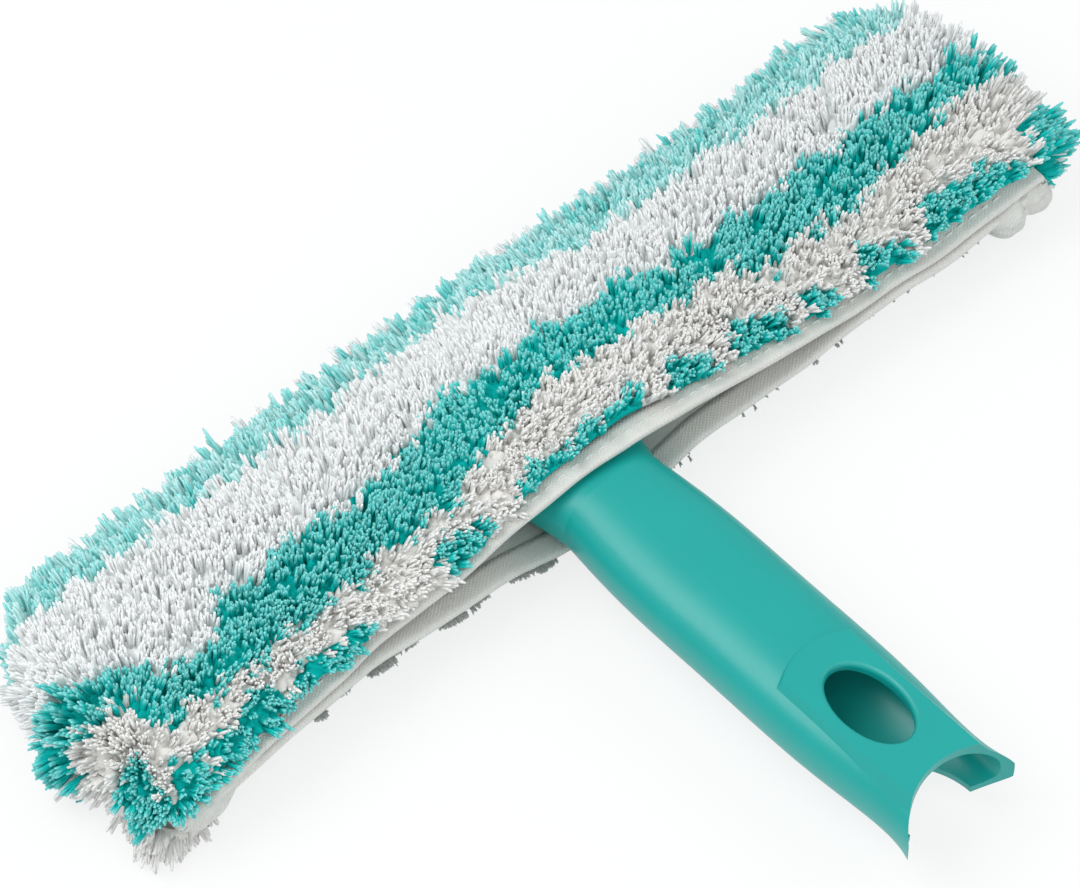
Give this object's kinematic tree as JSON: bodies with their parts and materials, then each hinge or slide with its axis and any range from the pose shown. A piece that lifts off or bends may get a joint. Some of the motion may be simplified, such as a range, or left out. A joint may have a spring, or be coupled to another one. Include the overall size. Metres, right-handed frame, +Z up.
{
  "type": "window scrubber",
  "caption": "T-shaped window scrubber with a striped pile cover over a flat crossbar and a hollow handle that takes an extension pole.",
  "frame": {"origin": "on the surface that the cover rests on, under the middle of the crossbar", "axes": "+X along the crossbar towards the end where the cover stands out further, +Y away from the handle, +Z up"},
  "size_m": [0.344, 0.2194, 0.0421],
  "materials": {
    "handle_plastic": "satin-gloss moulded polypropylene",
    "bar_aluminium": "mill finish flat bar",
    "cap_plastic": "matte moulded cap",
    "clamp_plastic": "matte moulded plate",
    "screw_steel": "stainless screws",
    "woven_cloth": "plain woven off-white cloth",
    "hem_tape": "twill tape",
    "stitch_thread": "polyester thread",
    "hook_and_loop": "hook and loop tape",
    "white_pile": "off-white microfibre pile",
    "teal_pile": "teal microfibre pile"
  },
  "bodies": {
    "handle": {"handle_grip": "handle_plastic", "crossbar": "bar_aluminium", "left_end_cap": "cap_plastic", "right_end_cap": "cap_plastic", "clamp_plate": "clamp_plastic", "clamp_screws": "screw_steel"},
    "cover": {"upper_base_cloth": "woven_cloth", "lower_base_cloth": "woven_cloth", "fold_base_cloth": "woven_cloth", "left_end_cloth": "woven_cloth", "right_end_cloth": "woven_cloth", "upper_hem_tape": "hem_tape", "lower_hem_tape": "hem_tape", "upper_hem_stitching": "stitch_thread", "lower_hem_stitching": "stitch_thread", "left_end_tuck": "woven_cloth", "right_end_tuck": "woven_cloth", "left_hook_tape": "hook_and_loop", "right_hook_tape": "hook_and_loop", "left_loop_tape": "hook_and_loop", "right_loop_tape": "hook_and_loop", "upper_near_white_pile": "white_pile", "upper_main_white_pile": "white_pile", "fold_white_pile": "white_pile", "lower_main_white_pile": "white_pile", "lower_near_white_pile": "white_pile", "upper_near_teal_pile": "teal_pile", "upper_main_teal_pile": "teal_pile", "upper_far_teal_pile": "teal_pile", "lower_far_teal_pile": "teal_pile", "lower_main_teal_pile": "teal_pile", "lower_near_teal_pile": "teal_pile"}
  },
  "joints": [
    {"name": "cover_slide", "type": "slide", "parent": "handle", "child": "cover", "axis": [0, 1, 0], "range_m": [0, 0.09]}
  ]
}
